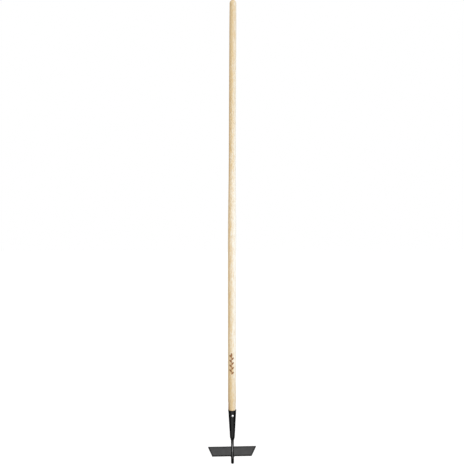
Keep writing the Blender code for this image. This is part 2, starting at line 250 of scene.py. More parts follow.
def skin(name, points, marks=None, crease=40.0, rows_meet=False):
    """A closed mesh over rows by columns of points, whose heights count from the neck's lowest point.

    Each row runs round to its own start, and the rows run round too where rows_meet is true. Points that
    fall together become one, so a row may close to a pole or a seam. marks holds a number for each
    point, by name, which the material reads. An edge that bends by more than crease degrees is sharp.
    """
    together = 2e-6
    rows, columns = points.shape[:2]
    grid = np.arange(rows * columns).reshape(rows, columns)
    if rows_meet:
        grid = np.vstack([grid, grid[:1]])
    beside = np.roll(grid, -1, axis=1)
    faces = np.stack([grid[:-1], beside[:-1], beside[1:], grid[1:]], axis=-1).reshape(-1, 4)
    mesh = bpy.data.meshes.new(name)
    mesh.from_pydata((points + (0.0, 0.0, ground)).reshape(-1, 3).tolist(), [], faces.tolist())
    for mark, values in (marks or {}).items():
        numbers = mesh.attributes.new(mark, "FLOAT", "POINT").data
        numbers.foreach_set("value", values.astype(np.float32).ravel())
    shell = bmesh.new()
    shell.from_mesh(mesh)
    bmesh.ops.remove_doubles(shell, verts=shell.verts, dist=together)
    bmesh.ops.recalc_face_normals(shell, faces=shell.faces)
    shell.to_mesh(mesh)
    shell.free()
    mesh.shade_smooth()
    mesh.set_sharp_from_angle(angle=math.radians(crease))
    piece = bpy.data.objects.new(name, mesh)
    bpy.context.scene.collection.objects.link(piece)
    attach(piece, "root")
    return piece


def pole_radius(height):
    """The pole's radius: a cone in the socket, a burr on the rim, and eased swells up to the dome."""
    taper_start = handle_foot + thick_run
    dome = crown_diameter / 2
    crown_start = handle_top - dome - crown_run
    shoulder_start = rim_level + burr_run + waist_run
    swell = (shaft_diameter - waist_diameter) * ease((height - shoulder_start) / shoulder_run)
    thinning = (grip_diameter - shaft_diameter) * ease((height - taper_start) / taper_run)
    crown = (crown_diameter - grip_diameter) * ease((height - crown_start) / crown_run)
    shaft = (waist_diameter + swell + thinning + crown) / 2
    burr = (burr_diameter - waist_diameter) / 2 * near(height - rim_level - burr_crest, burr_reach)
    tenon = np.interp(height, [handle_foot, rim_level], [tenon_foot_radius, tenon_top_radius])
    capped = np.sqrt(np.clip(dome**2 - np.clip(height - handle_top + dome, 0.0, dome) ** 2, 0.0, None))
    above = np.where(height > handle_top - dome, capped, shaft + burr)
    ledge = ease((height - rim_level - ledge_start) / ledge_run)
    return np.where(height < rim_level, tenon, tenon_top_radius + (above - tenon_top_radius) * ledge)


def sprig(across, up):
    """How deep the mark is burnt, from 0 to 1: a waving stem with leaves left and right in turn.

    The stem is a sine wave. Each leaf is an ellipse that leans out from the stem, with a paler rib
    along its middle, and the last one stands at the tip. The burn fades over each leaf's rim.
    """
    wave = stem_wave * np.sin(np.pi * up / leaf_pitch)
    stem = np.clip((stem_half_width - np.abs(across - wave)) / stem_fade, 0.0, 1.0)
    burnt = stem * (up > 0.0) * (up < leaf_count * leaf_pitch)
    sides = [(-1) ** step for step in range(leaf_count)]
    leaves = [(side, (step + leaf_start) * leaf_pitch, side * leaf_slant) for step, side in enumerate(sides)]
    leaves.append((0, mark_height - leaf_half_length, 0.0))
    for side, base, slant in leaves:
        x, y = across - side * leaf_out, up - base
        along = x * math.sin(slant) + y * math.cos(slant)
        beside = x * math.cos(slant) - y * math.sin(slant)
        from_middle = np.sqrt((along / leaf_half_length) ** 2 + (beside / leaf_half_width) ** 2)
        leaf = np.clip((1 - from_middle) / leaf_fade, 0.0, 1.0)
        rib = np.clip(1 - np.abs(beside) / rib_half_width, 0.0, 1.0) * (along > rib_start * leaf_half_length)
        burnt = np.maximum(burnt, leaf * (1 - rib_paler * rib))
    return burnt


# Stations up the pole, as (from, to, count), closest at the rim and the mark, and then over the dome
pole_stations = (
    (handle_foot + 0.0012, rim_level, 16),
    (rim_level + ledge_start, rim_level + 0.006, 24),
    (rim_level + 0.0075, mark_low - 0.002, 40),
    (mark_low, mark_low + mark_height, 149),
    (mark_low + mark_height + 0.004, handle_top - crown_diameter / 2 - 0.004, 150),
)
dome_turn = np.linspace(0.0, np.pi / 2, 28)
heights = np.concatenate([
    [handle_foot, handle_foot],
    *[np.linspace(*stations) for stations in pole_stations],
    handle_top - crown_diameter / 2 * (1 - np.sin(dome_turn)),
])[:, None]
around = np.linspace(-np.pi, np.pi, pole_facets, endpoint=False)[None, :]
radius = pole_radius(heights) * np.ones_like(around)
radius[0] = 0.0
# The lathe leaves waves, two and three to the turn, that wind up the pole. The rim crushes the fibres
# into notches, 19 to the turn and uneven in sevens, and pinches the pole's left and right flank.
turned = lathe_wave * np.sin(2 * around + 7 * heights) + lathe_chatter * np.sin(3 * around - 11 * heights + 1)
notches = crush_depth * np.sin(19 * around) * np.sin(7 * around + 1)
crushed = near(heights - rim_level - crush_crest, crush_reach) * notches
pinched = -pinch_depth * near(heights - rim_level, pinch_reach) * np.abs(np.sin(around))
burnt = sprig((around - mark_turn) * shaft_diameter / 2, heights - mark_low)
worked = (heights > rim_level) * (heights < handle_top - smooth_top)
radius = radius + worked * (turned + crushed + pinched) - mark_depth * burnt
bowed = pole_bow * np.sin(np.pi * np.clip((heights - rim_level) / (handle_top - rim_level), 0.0, 1.0))
turned_wood = np.stack([
    radius * np.sin(around) - bowed,
    -radius * np.cos(around),
    heights * np.ones_like(around),
], axis=-1)
in_socket = (heights < rim_level + leaning_to)[..., None]
turned_wood = np.where(in_socket, leaning(turned_wood), turned_wood)
handle = skin("ash_handle", turned_wood, marks={"burnt": burnt})
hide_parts("handle")


def total(tree, first, second, clamp=False):
    """Two values added up, held between 0 and 1 where clamp is true."""
    return calculate(tree, "ADD", first, second, clamp)


def mix_colours(tree, share, first, second):
    """The colour that lies share of the way from the first to the second."""
    return wire(tree, "Mix", {0: share, 6: first, 7: second}, data_type="RGBA").outputs[2]


def tinted(tree, colour, share, code):
    """A colour moved share of the way to the one written as six hexadecimal digits."""
    return mix_colours(tree, share, colour, screen_colour(code))


def noise(tree, places, scale, detail=2.0, roughness=0.5):
    """A smooth random value from 0 to 1, mostly near the middle."""
    sockets = {"Vector": places, "Scale": scale, "Detail": detail, "Roughness": roughness}
    return wire(tree, "TexNoise", sockets).outputs["Fac"]


def grain(tree, places, scales, detail=1.0, roughness=0.5):
    """Noise with its own scale along each axis, drawn out where the scale is small."""
    drawn_out = wire(tree, "Mapping", {"Vector": places, "Scale": scales}).outputs[0]
    return noise(tree, drawn_out, 1.0, detail, roughness)


def remap(tree, value, low, high, to_low=0.0, to_high=1.0):
    """A value between low and high, spread from to_low to to_high and held there beyond."""
    sockets = {0: value, 1: low, 2: high, 3: to_low, 4: to_high}
    return wire(tree, "MapRange", sockets).outputs[0]


# The rings are cylinders round a pith that lies outside the pole and wanders along it. Each ring
# starts with a band of open pores, which show as fine dark dashes, and ends in darker, denser wood.
ring_width, ring_wander, late_power = 0.0030, 3.2, 2.6
pith_place, pith_scales = (-0.030, -0.052, 0.0), (1.0, 1.0, 0.010)
wander_scales, tone_scales = (14.0, 14.0, 1.3), (9.0, 9.0, 2.2)
fibre_scales, patch_scales = (700.0, 700.0, 16.0), (230.0, 230.0, 34.0)
pore_scales, ray_scales = (2300.0, 2300.0, 85.0), (1100.0, 1100.0, 150.0)
fleck_scales, scorch_scales = (260.0, 260.0, 150.0), (600.0, 600.0, 300.0)
# The near-white colour is both the wood's pale mottle and a painted highlight.
heartwood, sapwood_and_highlight = "dfc290", "f5f5ee"
# The first of these browns is painted shade on the left flank. The second tints the wood greyer towards its
# ends.
left_shade_brown, end_grey_beige, late_brown, tone_tan = "cc9e68", "c3b18b", "cba974", "d6c092"
pore_brown, ray_cream, end_brown, rim_brown = "a47c4b", "fbf6e8", "a9814f", "955f37"
scorch_dark, scorch_light = "74441a", "9a6430"
late_share, pore_share, ray_share = 0.34, 0.50, 0.20

ash = bpy.data.materials.new("varnished_ash")
ash.use_nodes = True
wood = ash.node_tree
wood_places = wire(wood, "TexCoord").outputs["Object"]
wood_parts = wire(wood, "SeparateXYZ", {0: wood_places}).outputs


def up_pole(low, high, to_low, to_high):
    """A value of the wood that goes from to_low to to_high between two heights."""
    return remap(wood, wood_parts["Z"], ground + low, ground + high, to_low, to_high)


def across_pole(left, right, to_left=0.0, to_right=1.0):
    """A value of the wood that goes from to_left to to_right between two places along X."""
    return remap(wood, wood_parts["X"], left, right, to_left, to_right)


wander = grain(wood, wood_places, wander_scales, detail=3.0)
sockets = {"Vector": wood_places, "Location": pith_place, "Scale": pith_scales}
pith = wire(wood, "Mapping", sockets).outputs[0]
from_pith = wire(wood, "VectorMath", {0: pith}, operation="LENGTH").outputs["Value"]
ring_count = calculate(wood, "DIVIDE", from_pith, ring_width)
season = calculate(wood, "FRACT", total(wood, ring_count, product(wood, wander, ring_wander)))
late_wood = calculate(wood, "POWER", season, late_power)
fibre = grain(wood, wood_places, fibre_scales, detail=4.0, roughness=0.62)
patch = grain(wood, wood_places, patch_scales, detail=5.0, roughness=0.68)
tone = grain(wood, wood_places, tone_scales, detail=3.0)
fleck = grain(wood, wood_places, fleck_scales, detail=2.0)
dashes = remap(wood, grain(wood, wood_places, pore_scales), 0.52, 0.64)
pore = product(wood, dashes, remap(wood, season, 0.50, 0.05))
ray = remap(wood, grain(wood, wood_places, ray_scales), 0.64, 0.74)
# Painted highlight: the pole is painted palest along its middle stretch, and there from near its left flank
# on, less behind than in front. Its ends get painted highlight only at the right. The left flank is painted
# browner as painted shade, more towards the ends. All of it is mottled.
middle = product(wood, up_pole(0.22, 0.42, 0.42, 1.0), up_pole(0.95, 1.54, 1.0, 0.36))
highlight_from = remap(wood, middle, 0.4, 1.0, -0.0060, -0.0130)
less_behind = remap(wood, wood_parts["Y"], -0.0060, 0.0040, 1.0, 0.40)
highlight_middle = product(wood, middle, product(wood, across_pole(highlight_from, 0.0110, 0.0, 1.10), less_behind))
highlight_right = product(wood, across_pole(0.0, 0.0080, 0.0, 0.55), up_pole(0.20, 0.50, 0.4, 1.0))
highlight_ends = product(wood, calculate(wood, "SUBTRACT", 1.0, middle), highlight_right)
coarse_mottle = remap(wood, patch, 0.25, 0.75, -0.52, 0.52)
fine_mottle = remap(wood, fibre, 0.3, 0.7, -0.14, 0.14)
short_mottle = remap(wood, fleck, 0.3, 0.7, -0.22, 0.22)
mottled = total(wood, total(wood, coarse_mottle, fine_mottle), short_mottle)
paleness_and_highlight = total(wood, total(wood, highlight_middle, highlight_ends), mottled, clamp=True)
# Painted shade: the left flank is painted browner, more towards the ends than in the middle.
left_shade_by_height = calculate(wood, "MAXIMUM", up_pole(0.88, 1.00, 0.12, 0.50), up_pole(0.36, 0.26, 0.12, 0.42))
left_flank_shade = product(wood, left_shade_by_height, across_pole(-0.0065, -0.0115))
colour = mix_colours(wood, paleness_and_highlight, screen_colour(heartwood), screen_colour(sapwood_and_highlight))
colour = tinted(wood, colour, left_flank_shade, left_shade_brown)
# Towards both ends the wood is tinted greyer beige.
colour = tinted(wood, colour, remap(wood, middle, 1.0, 0.4, 0.04, 0.34), end_grey_beige)
colour = tinted(wood, colour, product(wood, late_wood, late_share), late_brown)
colour = tinted(wood, colour, remap(wood, tone, 0.42, 0.66, 0.0, 0.22), tone_tan)
colour = tinted(wood, colour, product(wood, pore, pore_share), pore_brown)
colour = tinted(wood, colour, product(wood, ray, ray_share), ray_cream)
# The wood is browner just above the rim, mostly at the left, and in a streak that rises from there up the
# left flank. The dome shows darker end grain.
end_grain = up_pole(handle_top - 0.0085, handle_top - 0.0015, 0.0, 0.62)
on_rim = up_pole(rim_level + 0.0035, rim_level + 0.0008, 0.0, 0.40)
on_rim = product(wood, on_rim, across_pole(0.004, -0.012, 0.35, 1.0))
streak = up_pole(rim_level + 0.040, rim_level + 0.012, 0.0, 0.66)
streak = product(wood, streak, across_pole(-0.0070, -0.0110))
colour = tinted(wood, colour, end_grain, end_brown)
colour = tinted(wood, colour, calculate(wood, "MAXIMUM", on_rim, streak), rim_brown)
char = wire(wood, "Attribute", attribute_name="burnt").outputs["Fac"]
scorch = grain(wood, wood_places, scorch_scales, detail=3.0)
browned = product(wood, remap(wood, char, 0.0, 0.55), remap(wood, scorch, 0.2, 0.55, 0.75, 1.0))
burnt_colour = mix_colours(wood, scorch, screen_colour(scorch_dark), screen_colour(scorch_light))
colour = mix_colours(wood, browned, colour, burnt_colour)
grain_height = calculate(wood, "SUBTRACT", product(wood, fibre, 0.5), pore)
grain_bump = wire(wood, "Bump", {"Strength": 0.35, "Distance": 0.00012, "Height": grain_height})
dullness = remap(wood, total(wood, fibre, browned), 0.3, 1.6, 0.40, 0.62)
shader = wood.nodes["Principled BSDF"]
wood.links.new(colour, shader.inputs["Base Color"])
wood.links.new(dullness, shader.inputs["Roughness"])
wood.links.new(grain_bump.outputs[0], shader.inputs["Normal"])
shader.inputs["Specular IOR Level"].default_value = 0.35
shader.inputs["Coat Weight"].default_value = 0.12
shader.inputs["Coat Roughness"].default_value = 0.28
handle.data.materials.append(ash)

# Socket
# A cone rolled from 1.5 mm steel sheet and lacquered black, with a screw through its front and an open
# seam down its back. Its rim flares and stands up a little at the left and right. Its nose is hammered
# thin and close round the neck, longer at the front and the back than at the sides.
socket_wall, lip_wall = 0.0015, 0.0006
rim_diameter, cone_top_diameter, cone_foot_diameter = 0.0277, 0.0270, 0.0170
flare_run, cone_run, nose_run, tongue_run = 0.004, 0.087, 0.0125, 0.0017
notch_depth = 0.0040
seam_gap = 0.0016
sheet_edge = 0.35 * socket_wall  # the radius of the sheet's rounded edges along the seam
right_rise, left_rise, rise_reach = 0.0016, 0.0011, 0.0040
right_lip, left_lip, left_lip_reach = 0.0007, 0.0006, 0.0030
fit_gap = 0.0003
neck_radius = 0.005
nose_radius = neck_radius + fit_gap + lip_wall
cone_top = rim_level - flare_run
cone_foot = cone_top - cone_run
nose_tip = cone_foot - nose_run - tongue_run
screw_drop, screw_turn = 0.0173, math.radians(6.5)
screw_head_radius = 0.0039
dimple_depth, dimple_reach = 0.00012, 0.0085
blow_depth, blows_below, blows_reach = 0.00008, 0.004, 0.012
rim_shade, nose_shade, seam_shade, screw_shade = 0.0060, 0.0065, 0.0030, 0.0035
rim_rub, rim_rub_reach, nose_rub_reach = 0.3, 0.0009, 0.0005


def socket_radius(height):
    """The socket's outer radius: a straight cone, a flare at the rim and a nose that closes on the neck."""
    share = np.clip((height - cone_foot) / cone_run, 0.0, 1.0)
    cone = cone_foot_diameter / 2 + (cone_top_diameter - cone_foot_diameter) / 2 * share
    flare = (rim_diameter - cone_top_diameter) / 2 * ease((height - cone_top) / flare_run)
    nose = (cone_foot_diameter / 2 - nose_radius) * ease((cone_foot - height) / nose_run)
    return cone + flare - nose


def nose_end(angle):
    """The level of the nose's edge: low at the front and back, and high at the sides as a squared sine."""
    return nose_tip + notch_depth * np.sin(angle) ** 2


# Columns run round the sheet: along its outside from edge to edge, round one edge, back along its
# inside and round the other. facing is the share of half a turn from the front, and depth the share
# of the wall. Rows run over the rim's rounded edge, down the cone and over the nose's rounded edge,
# and pinch is the share of the wall that is left on those two edges.
sheet_columns, edge_columns, edge_rows = 121, 8, 7
rim_part, nose_part = 0.06, 0.86  # of the way down, with wider rows between
arc = np.linspace(-1.0, 1.0, sheet_columns)
turn_in = np.linspace(0.0, np.pi, edge_columns)[1:-1]
facing = np.concatenate([arc, 0 * turn_in + 1, arc[::-1], 0 * turn_in - 1])[None, :]
edge_out = np.concatenate([0 * arc, np.sin(turn_in), 0 * arc, -np.sin(turn_in)])[None, :]
depth_in, depth_out = (1 - np.cos(turn_in)) / 2, (1 + np.cos(turn_in)) / 2
depth = np.concatenate([0 * arc, depth_in, 0 * arc + 1, depth_out])[None, :]
rolled = np.linspace(0.0, np.pi / 2, edge_rows)[:, None]
body_share = np.concatenate([
    np.linspace(0.0, rim_part, 14)[1:],
    np.linspace(rim_part, nose_part, 90)[1:],
    np.linspace(nose_part, 1.0, 40)[1:-1],
])[:, None]
pinch = np.concatenate([np.sin(rolled), 0 * body_share + 1, np.sin(rolled[::-1])])
along = np.concatenate([0 * rolled, body_share, 0 * rolled + 1])
straight_angle = np.pi * facing
lower_end = nose_end(straight_angle * (1 - seam_gap / 2 / np.pi / nose_radius))
level = (rim_level - socket_wall / 2) * (1 - along) + (lower_end + lip_wall / 2) * along
level = level + (socket_wall / 2) * (along == 0) * np.cos(np.arcsin(pinch))
level = level - (lip_wall / 2) * (along == 1) * np.cos(np.arcsin(pinch))
to_right = np.clip(np.sin(straight_angle), 0.0, 1.0)
to_left = np.clip(-np.sin(straight_angle), 0.0, 1.0)
corners = right_rise * to_right**2 + left_rise * to_left**2
level = level + corners * near(level - rim_level, rise_reach)
outside = socket_radius(level) + right_lip * to_right * np.clip((level - rim_level) / right_rise, 0.0, 1.0)
outside = outside + left_lip * to_left * near(level - rim_level, left_lip_reach)
thin = np.clip((level - nose_tip - tongue_run) / nose_run, 0.0, 1.0)
wall = lip_wall + (socket_wall - lip_wall) * thin
half_seam = seam_gap / 2 + sheet_edge
angle = facing * (np.pi - half_seam / outside) + edge_out * sheet_edge / outside
screw_away = np.hypot(outside * (angle - screw_turn), level - (rim_level - screw_drop))
# Hammer marks, nine to the turn and 9 mm apart, ring the nose's top, and the screw draws a dimple.
struck = near(level - cone_foot + blows_below, blows_reach)
hammered = blow_depth * struck * np.sin(9 * angle + 2) * np.sin(700 * level)
dimple = -dimple_depth * near(screw_away, dimple_reach)
reach = outside + hammered + dimple - wall * (0.5 + (depth - 0.5) * pinch)
rolled_sheet = np.stack([reach * np.sin(angle), -reach * np.cos(angle), level], axis=-1)
# Painted shade: the lacquer is painted darker below the rim, along the nose's end, beside the seam and round
# the screw head.
socket_shade = np.maximum.reduce([
    near(level - rim_level, rim_shade),
    near(level - lower_end, nose_shade),
    near((1 - np.abs(facing)) * np.pi * outside, seam_shade),
    near(screw_away - screw_head_radius, screw_shade),
])
rubbed = np.maximum(rim_rub * near(level - rim_level, rim_rub_reach), near(level - lower_end, nose_rub_reach))
socket = skin("rolled_socket", leaning(rolled_sheet), marks={"edge": socket_shade, "rubbed": rubbed})
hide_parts("socket")

# Scales of the lacquer's patterns, and how far dust and rubbing change its colour
cloud_scale, mottle_scale, peel_scale, speck_scale = 55.0, 260.0, 900.0, 1400.0
dust_grey, dust_share = "6a6762", 0.35
rubbed_grey, rubbed_share = "77726c", 0.6
mottle_height, peel_strength = 1.5, 0.5


def lacquer_group():
    """Dipped black lacquer: orange peel, cloudy patches, dust, rubbed spots, darker where Edge is high.

    Each pattern is noise of its own scale. The cloud and the mottle vary the open colour, the peaks of the
    specks are dust, and a rubbed place shows steel where the mottle is high. The Edge mask moves the colour
    to the edge colour; on the socket and the palm that is painted shade.
    """
    group = bpy.data.node_groups.new("dipped_lacquer", "ShaderNodeTree")
    sockets = (
        ("Places", "INPUT", "NodeSocketVector"),
        ("Edge", "INPUT", "NodeSocketFloat"),
        ("Rubbed", "INPUT", "NodeSocketFloat"),
        ("Open Colour", "INPUT", "NodeSocketColor"),
        ("Edge Colour", "INPUT", "NodeSocketColor"),
        ("Dullness", "INPUT", "NodeSocketFloat"),
        ("Color", "OUTPUT", "NodeSocketColor"),
        ("Roughness", "OUTPUT", "NodeSocketFloat"),
        ("Height", "OUTPUT", "NodeSocketFloat"),
    )
    for name, way, kind in sockets:
        group.interface.new_socket(name, in_out=way, socket_type=kind)
    given = group.nodes.new("NodeGroupInput").outputs
    result = group.nodes.new("NodeGroupOutput")
    cloud = noise(group, given["Places"], cloud_scale, detail=4.0, roughness=0.6)
    mottle = noise(group, given["Places"], mottle_scale, detail=3.0)
    peel = noise(group, given["Places"], peel_scale, detail=2.0)
    speck = remap(group, noise(group, given["Places"], speck_scale, detail=1.0), 0.74, 0.80)
    uneven = remap(group, total(group, cloud, mottle), 0.7, 1.3, 0.84, 1.12)
    toned = wire(group, "VectorMath", {0: given["Open Colour"], 1: uneven}, operation="MULTIPLY")
    edged = mix_colours(group, given["Edge"], toned.outputs[0], given["Edge Colour"])
    dusty = tinted(group, edged, product(group, speck, dust_share), dust_grey)
    worn = product(group, given["Rubbed"], remap(group, mottle, 0.45, 0.6))
    colour = tinted(group, dusty, product(group, worn, rubbed_share), rubbed_grey)
    dull = total(group, given["Dullness"], remap(group, cloud, 0.3, 0.7, -0.05, 0.07))
    height = total(group, peel, product(group, mottle, mottle_height))
    group.links.new(colour, result.inputs["Color"])
    group.links.new(dull, result.inputs["Roughness"])
    group.links.new(height, result.inputs["Height"])
    return group


dipped = lacquer_group()


def black_lacquer(name, open_colour, edge_colour, dullness, shine, ripple=0.00004, duller=0.0):
    """Satin black lacquer on steel. open_colour is out on the faces and edge_colour near the edges.

    At the edges the lacquer's dullness is higher by duller.
    """
    material = bpy.data.materials.new(name)
    material.use_nodes = True
    tree = material.node_tree
    edge = wire(tree, "Attribute", attribute_name="edge").outputs["Fac"]
    coat = tree.nodes.new("ShaderNodeGroup")
    coat.node_tree = dipped
    tree.links.new(wire(tree, "TexCoord").outputs["Object"], coat.inputs["Places"])
    tree.links.new(edge, coat.inputs["Edge"])
    tree.links.new(wire(tree, "Attribute", attribute_name="rubbed").outputs["Fac"], coat.inputs["Rubbed"])
    coat.inputs["Open Colour"].default_value = screen_colour(open_colour)
    coat.inputs["Edge Colour"].default_value = screen_colour(edge_colour)
    coat.inputs["Dullness"].default_value = dullness
    sockets = {"Strength": peel_strength, "Distance": ripple, "Height": coat.outputs["Height"]}
    bump = wire(tree, "Bump", sockets)
    rough = total(tree, coat.outputs["Roughness"], product(tree, edge, duller))
    shader = tree.nodes["Principled BSDF"]
    tree.links.new(coat.outputs["Color"], shader.inputs["Base Color"])
    tree.links.new(rough, shader.inputs["Roughness"])
    tree.links.new(bump.outputs[0], shader.inputs["Normal"])
    shader.inputs["Specular IOR Level"].default_value = shine
    return material


# The socket, the neck and the blade wear the same black lacquer. Its colour is painted darkest on the socket
# and a little lighter on the neck and the blade, as painted shade and painted light.
socket_look = black_lacquer("socket_lacquer", "0e0e0f", "09090a", dullness=0.28, shine=0.33)
socket.data.materials.append(socket_look)

# Socket screw
# A round-head wood screw, bright zinc plated, that pins the handle in the socket. Its head is a low
# dome with a cross recess and its shank ends in a point inside the wood.
screw_head_height, screw_brim = 0.0026, 0.0005
shank_radius, shank_length, point_length = 0.0020, 0.0190, 0.0050
under_head_share, under_head_step, under_brim_step = 0.85, 0.00002, 0.00012
recess_half, recess_slot, recess_depth = 0.0022, 0.00042, 0.0013
slot_slope, slot_end_slope = 0.00016, 0.0007
brim_from, brim_run = 0.74, 0.24
spangle_scale = 1800.0
# The last two greys are painted shade, in the cross recess and on the head's brim.
zinc_grey, zinc_white, recess_shade_grey, brim_shade_grey = "f1f2f3", "fbfbfb", "6f7072", "8b8d90"
recess_shade_share, brim_shade_share = 0.55, 0.40
screw_facets, dome_rings = 96, 60

screw_level = rim_level - screw_drop
cone_slope = math.atan((cone_top_diameter - cone_foot_diameter) / 2 / cone_run)
screw_place = (
    Matrix.Rotation(screw_turn, 4, "Z")
    @ Matrix.Translation((0.0, -float(socket_radius(np.array(screw_level))), screw_level))
    @ Matrix.Rotation(math.pi / 2 + cone_slope, 4, "X")
)


def placed(points, matrix):
    """Points moved from a piece's own frame by a matrix."""
    grid = np.array(matrix)
    return points @ grid[:3, :3].T + grid[:3, 3]


def slot_shape(along, across):
    """A slot's depth from 0 to 1: full inside its width and length, with sloping sides."""
    sides = np.clip((recess_slot - np.abs(across)) / slot_slope + 0.5, 0.0, 1.0)
    ends = np.clip((recess_half - np.abs(along)) / slot_end_slope, 0.0, 1.0)
    return sides * ends


# Rows run from the point up the shank, out under the head, up its brim and in over a dome that is a
# quarter of an ellipse, into which the cross is sunk.
dome_share = np.linspace(1.0, 0.0, dome_rings)
head_radii = np.concatenate([
    [0.0, shank_radius, shank_radius, under_head_share * screw_head_radius, screw_head_radius],
    screw_head_radius * np.sin(np.pi / 2 * dome_share),
])[:, None]
head_levels = np.concatenate([
    [-shank_length, point_length - shank_length, 0.0, under_head_step, under_brim_step],
    fit_gap + screw_brim + (screw_head_height - screw_brim) * np.cos(np.pi / 2 * dome_share),
])[:, None]
screw_turns = np.linspace(0.0, 2 * np.pi, screw_facets, endpoint=False)[None, :]
head_x, head_y = head_radii * np.cos(screw_turns), head_radii * np.sin(screw_turns)
cross = np.maximum(slot_shape(head_x, head_y), slot_shape(head_y, head_x)) * (head_levels > screw_brim)
screw_points = np.stack([head_x, head_y, head_levels - recess_depth * cross], axis=-1)
# Painted shade: the head's brim is painted greyer, and in the material the cross recess darker.
brim_shade = np.clip((head_radii / screw_head_radius - brim_from) / brim_run, 0.0, 1.0) + 0 * head_x
screw_marks = {"recess": cross, "brim_shade": brim_shade}
screw = skin("zinc_screw", leaning(placed(screw_points, screw_place)), marks=screw_marks, crease=30.0)
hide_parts("socket_screw")

zinc = bpy.data.materials.new("bright_zinc")
zinc.use_nodes = True
tree = zinc.node_tree
spangle = noise(tree, wire(tree, "TexCoord").outputs["Object"], spangle_scale, detail=3.0)
recess_shaded = wire(tree, "Attribute", attribute_name="recess").outputs["Fac"]
brim_shaded = wire(tree, "Attribute", attribute_name="brim_shade").outputs["Fac"]
pale = remap(tree, spangle, 0.35, 0.65)
silver = mix_colours(tree, pale, screen_colour(zinc_grey), screen_colour(zinc_white))
# Painted shade: darker in the cross recess and greyer on the head's brim.
silver = tinted(tree, silver, product(tree, recess_shaded, recess_shade_share), recess_shade_grey)
silver = tinted(tree, silver, product(tree, brim_shaded, brim_shade_share), brim_shade_grey)
shader = tree.nodes["Principled BSDF"]
tree.links.new(silver, shader.inputs["Base Color"])
tree.links.new(remap(tree, spangle, 0.3, 0.7, 0.26, 0.38), shader.inputs["Roughness"])
shader.inputs["Metallic"].default_value = 0.75
screw.data.materials.append(zinc)

# Swan neck
# A 10 mm round steel bar, bent hot and lacquered black. It runs straight down out of the socket, out
# to the front, back under the hoe in one long bend and up at a slight slant to the blade, where its
# end is hammered flat into a palm.
bow_out, bow_angle = 0.026, math.radians(40.0)
upper_bend_radius, lower_bend_radius = 0.022, 0.024
neck_reach, neck_lead = 0.0343, 0.0017
palm_width, palm_thickness, palm_length = 0.0220, 0.0046, 0.0380
palm_flare, palm_squareness, palm_tip_share = 0.0180, 6.0, 0.18
blade_tilt, blade_roll = math.radians(7.8), math.radians(0.85)
stub_top = handle_foot - 0.002  # the bar ends this far below the pole's foot
bar_radius = neck_radius - 0.00001  # keeps the round bar within the model's flat-sided one
bar_facets = 72
cap_top_share, cap_tip_share = 0.94, 0.90
palm_blow_depth = 0.00009
palm_rim, palm_shade, palm_rub = 0.35, 0.6, 0.5

bends = upper_bend_radius + lower_bend_radius
bow_slant = (bow_out - bends * (1 - math.cos(bow_angle))) / math.sin(bow_angle)
lower_turn = bow_angle + math.pi / 2 + blade_tilt
bend_start = nose_tip - neck_lead
# The bar's runs from the top down, each as its length, its turn and its number of steps
bar_runs = (
    (stub_top - bend_start, 0.0, 8),
    (upper_bend_radius * bow_angle, -bow_angle, 24),
    (bow_slant, 0.0, 14),
    (lower_bend_radius * lower_turn, lower_turn, 72),
    (neck_reach, 0.0, 44),
    (palm_length, 0.0, 70),
)


def bar_route():
    """The bar's middle line as arrays: the way along it, Y, height and heading at each station.

    A step goes straight along its chord, whose heading is the mean of the headings at its ends.
    """
    steps = np.concatenate([np.full(count, run / count) for run, _, count in bar_runs])
    turns = np.concatenate([np.full(count, turn / count) for _, turn, count in bar_runs])
    heading = -math.pi / 2 + np.concatenate([[0.0], np.cumsum(turns)])
    chord = steps * np.sinc(turns / 2 / np.pi)
    middle = (heading[:-1] + heading[1:]) / 2
    y = np.concatenate([[0.0], np.cumsum(chord * np.cos(middle))])
    height = stub_top + np.concatenate([[0.0], np.cumsum(chord * np.sin(middle))])
    return np.concatenate([[0.0], np.cumsum(steps)]), y, height, heading


def rounded(wave, power, half):
    """A half axis of a superellipse: a sine or cosine raised to a power with its sign kept, times half."""
    return np.sign(wave) * np.abs(wave) ** power * half


def capped(values):
    """Rows of a cross-section with a smaller one and a closed one added at each end of the bar."""
    first, last = values[:1], values[-1:]
    return np.vstack([0 * first, cap_top_share * first, values, cap_tip_share * last, 0 * last])


def ends_doubled(values):
    """Values along the bar with the first and the last one repeated for the caps, as a column."""
    return np.concatenate([values[:1]] * 2 + [values] + [values[-1:]] * 2)[:, None]


# The bar's section is a superellipse that goes from round to nearly square along the reach, widens
# into the palm, closes round its tip and turns with the blade. Blows, 15 mm apart, mark its underside.
travelled, bar_y, bar_height, heading = bar_route()
tip_at = travelled[-1]
edge_at = tip_at - palm_length
tail_at = edge_at - neck_reach
edge_y = bar_y[-1] - palm_length * math.cos(heading[-1])
edge_height = bar_height[-1] - palm_length * math.sin(heading[-1])
flat = ease((travelled - tail_at) / neck_reach)
half_width = bar_radius + (palm_width / 2 - bar_radius) * ease((travelled - edge_at) / palm_flare)
past = np.clip((travelled - tip_at) / (palm_width / 2) + 1, 0.0, 1.0)
half_width = half_width * np.maximum(np.sqrt(1 - past**2), palm_tip_share)
half_height = bar_radius + (palm_thickness / 2 - bar_radius) * flat
power = (2 / (2 + (palm_squareness - 2) * flat))[:, None]
round_about = np.linspace(0.0, 2 * np.pi, bar_facets, endpoint=False)[None, :]
across = rounded(np.cos(round_about), power, half_width[:, None])
upward = rounded(np.sin(round_about), power, half_height[:, None])
blows = palm_blow_depth * np.sin(420 * travelled[:, None]) * np.sin(3 * round_about + 1.7)
upward = upward + flat[:, None] * blows * (upward < 0)
across, upward = capped(across), capped(upward)
roll = blade_roll * ends_doubled(flat)
tilt = ends_doubled(heading)
sideways = across * np.cos(roll) - upward * np.sin(roll)
lifted = across * np.sin(roll) + upward * np.cos(roll)
